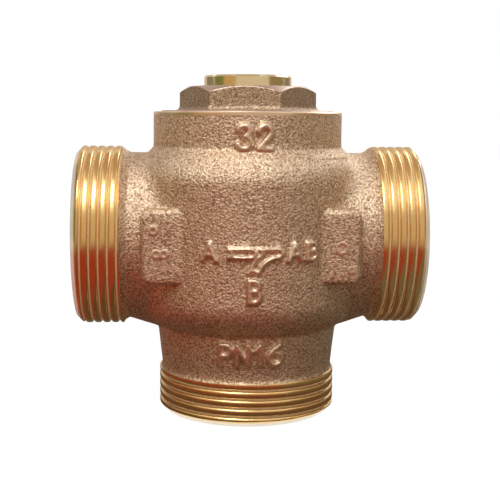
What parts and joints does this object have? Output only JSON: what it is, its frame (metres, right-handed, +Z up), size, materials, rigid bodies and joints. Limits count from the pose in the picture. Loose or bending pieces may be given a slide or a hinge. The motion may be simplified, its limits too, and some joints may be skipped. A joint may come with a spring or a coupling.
{
  "type": "three-way mixing valve",
  "caption": "Three-port mixing valve with male pipe threads, a hexagon bonnet and a wax cartridge that blends two water inlets.",
  "frame": {"origin": "centre of the bottom port's sealing face, which is the centre of the base", "axes": "+Z up along the bottom port, the cartridge and the bonnet; +X along the straight run, from port A to port AB"},
  "size_m": [0.091, 0.061, 0.091],
  "materials": {
    "cast_bronze": "sand-cast bronze, blasted skin, machined threads and faces",
    "bonnet_bronze": "sand-cast bronze with a turned boss and chamfer",
    "turned_brass": "turned",
    "capsule_copper": "drawn copper",
    "stamped_steel": "stamped stainless strip",
    "spring_steel": "drawn stainless wire and ground pin",
    "seal_rubber": "matt"
  },
  "bodies": {
    "valve": {"valve_body": "cast_bronze", "bonnet_cap": "bonnet_bronze", "bonnet_seal_ring": "seal_rubber", "cartridge_flange": "turned_brass", "flange_gasket": "seal_rubber", "retaining_ring": "spring_steel", "upper_bridge": "stamped_steel", "lower_cage": "stamped_steel", "piston_socket": "turned_brass", "piston_pin": "spring_steel", "main_spring": "spring_steel"},
    "element": {"wax_capsule": "capsule_copper", "capsule_guide": "turned_brass", "main_disc": "stamped_steel", "disc_seal": "seal_rubber", "bypass_stem": "turned_brass", "stem_clip": "spring_steel", "bypass_spring": "spring_steel"},
    "bypass": {"bypass_disc": "stamped_steel", "bypass_seal": "seal_rubber"}
  },
  "joints": [
    {"name": "element_slide", "type": "slide", "parent": "valve", "child": "element", "axis": [0, 0, -1], "range_m": [0, 0.005], "stiffness_N_per_m": 4000, "springref_m": -0.005, "deforming": ["main_spring"]},
    {"name": "bypass_lift", "type": "slide", "parent": "element", "child": "bypass", "axis": [0, 0, 1], "range_m": [0, 0.0025], "stiffness_N_per_m": 1500, "springref_m": -0.002, "deforming": ["bypass_spring"]}
  ]
}
